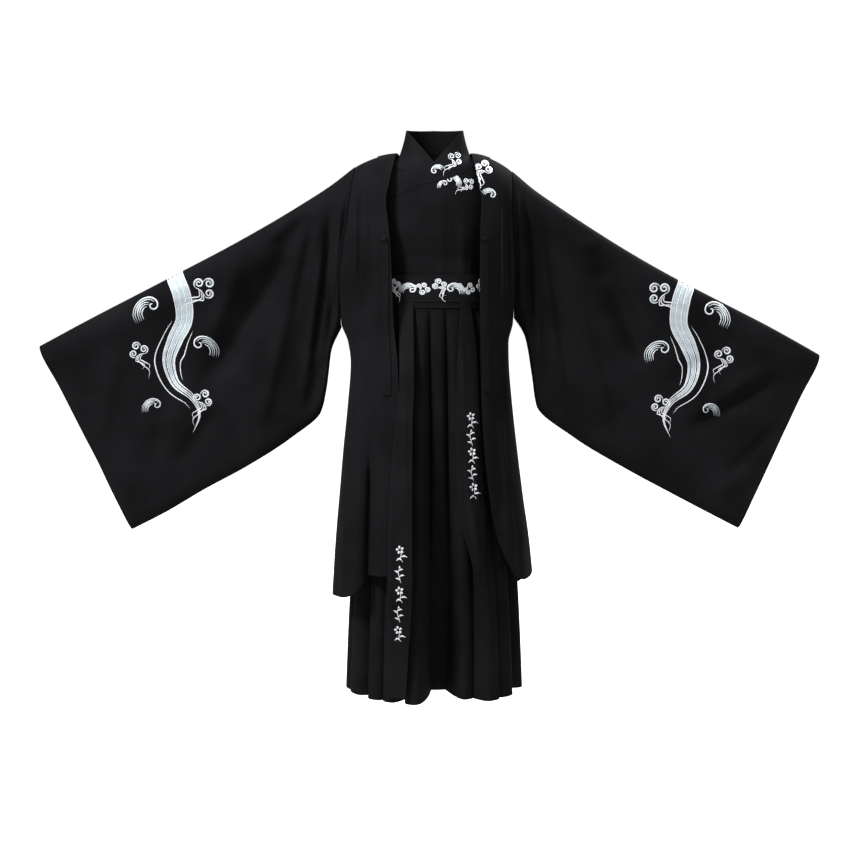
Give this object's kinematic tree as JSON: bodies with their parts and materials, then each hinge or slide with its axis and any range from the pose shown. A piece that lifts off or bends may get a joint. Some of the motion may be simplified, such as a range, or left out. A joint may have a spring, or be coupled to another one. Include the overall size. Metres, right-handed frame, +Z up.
{
  "type": "hanfu set",
  "caption": "Black chiffon hanfu set, filled out as worn with no wearer: open robe with very wide sleeves, cross-collar top, pleated skirt and wrapped sash",
  "frame": {"origin": "the middle of the base of the neck, where the set is carried on the wearer's shoulders", "axes": "+Z up, the front faces -Y, +X is the wearer's left; the spread sleeves run along X"},
  "size_m": [1.9108, 0.4329, 1.3692],
  "materials": {
    "robe_cloth": "matte black chiffon with a faint sheen",
    "top_cloth": "matte black chiffon, two layers",
    "skirt_cloth": "matte black chiffon in open pleats",
    "sash_cloth": "black chiffon with white and pale silver-blue embroidery"
  },
  "bodies": {
    "root": {"robe_back": "robe_cloth", "robe_front_left": "robe_cloth", "robe_front_right": "robe_cloth", "robe_sleeve_left": "robe_cloth", "robe_sleeve_right": "robe_cloth", "robe_band_left": "robe_cloth", "robe_band_right": "robe_cloth", "robe_band_neck": "robe_cloth", "robe_tie_left": "robe_cloth", "robe_tie_right": "robe_cloth", "top_back": "top_cloth", "top_front_over": "top_cloth", "top_front_under": "top_cloth", "top_collar": "top_cloth", "skirt_front": "skirt_cloth", "skirt_back": "skirt_cloth", "skirt_waistband": "skirt_cloth", "belt_wrap_under": "sash_cloth", "belt_wrap_outer": "sash_cloth", "sash_end_left": "sash_cloth", "sash_end_right": "sash_cloth"}
  },
  "joints": []
}
